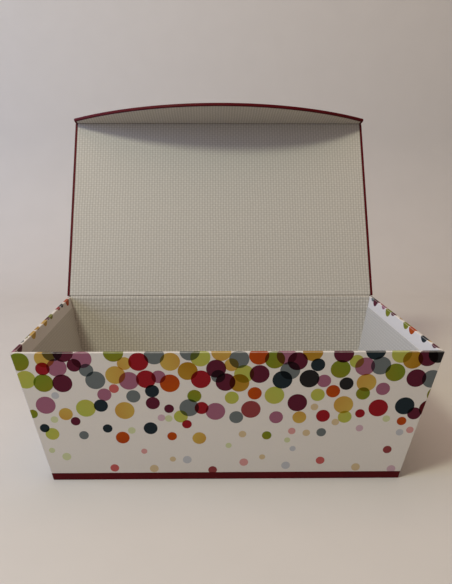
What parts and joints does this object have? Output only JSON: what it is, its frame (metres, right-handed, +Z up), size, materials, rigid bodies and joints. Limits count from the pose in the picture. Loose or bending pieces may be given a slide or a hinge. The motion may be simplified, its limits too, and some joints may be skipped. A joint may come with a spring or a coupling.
{
  "type": "keepsake box",
  "caption": "Flared rigid paper-wrapped box with a hinged lid and a curved magnetic flap that folds down over the front wall.",
  "frame": {"origin": "middle of the box's underside, on the surface that it stands on", "axes": "+X to the right as seen from the front, +Y to the back, where the lid is hinged, +Z up"},
  "size_m": [0.302, 0.2627, 0.29],
  "materials": {
    "printed_paper": "satin",
    "woven_lining": "matte",
    "cover_paper": "satin",
    "grey_board": "matte",
    "stay_tape": "matte",
    "magnet": "polished",
    "steel": "satin"
  },
  "bodies": {
    "tray": {"back_lining": "woven_lining", "back_wall_board": "grey_board", "back_wrap": "printed_paper", "base_board": "grey_board", "base_wrap": "cover_paper", "catch_plates": "steel", "corner_stays": "stay_tape", "floor_board": "grey_board", "floor_lining": "woven_lining", "front_lining": "woven_lining", "front_wall_board": "grey_board", "front_wrap": "printed_paper", "hinge_cover_strip": "cover_paper", "hinge_lining_band": "woven_lining", "left_lining": "woven_lining", "left_wall_board": "grey_board", "left_wrap": "printed_paper", "lid_spine": "cover_paper", "right_lining": "woven_lining", "right_wall_board": "grey_board", "right_wrap": "printed_paper"},
    "lid": {"lid_board": "grey_board", "lid_wrap": "cover_paper", "lid_lining": "woven_lining", "flap_spine": "cover_paper"},
    "flap": {"flap_board": "grey_board", "flap_wrap": "cover_paper", "flap_lining": "woven_lining", "flap_magnets": "magnet"}
  },
  "joints": [
    {"name": "lid_hinge", "type": "hinge", "parent": "tray", "child": "lid", "pos_m": [0, 0.0915, 0.1046], "axis": [1, 0, 0], "range_deg": [-65.5, 114.5], "deforming": ["lid_spine"]},
    {"name": "flap_hinge", "type": "hinge", "parent": "lid", "child": "flap", "pos_m": [0, 0.16843, 0.27341], "axis": [1, 0, 0], "range_deg": [-98.61, 2.4], "deforming": ["flap_spine"]}
  ]
}
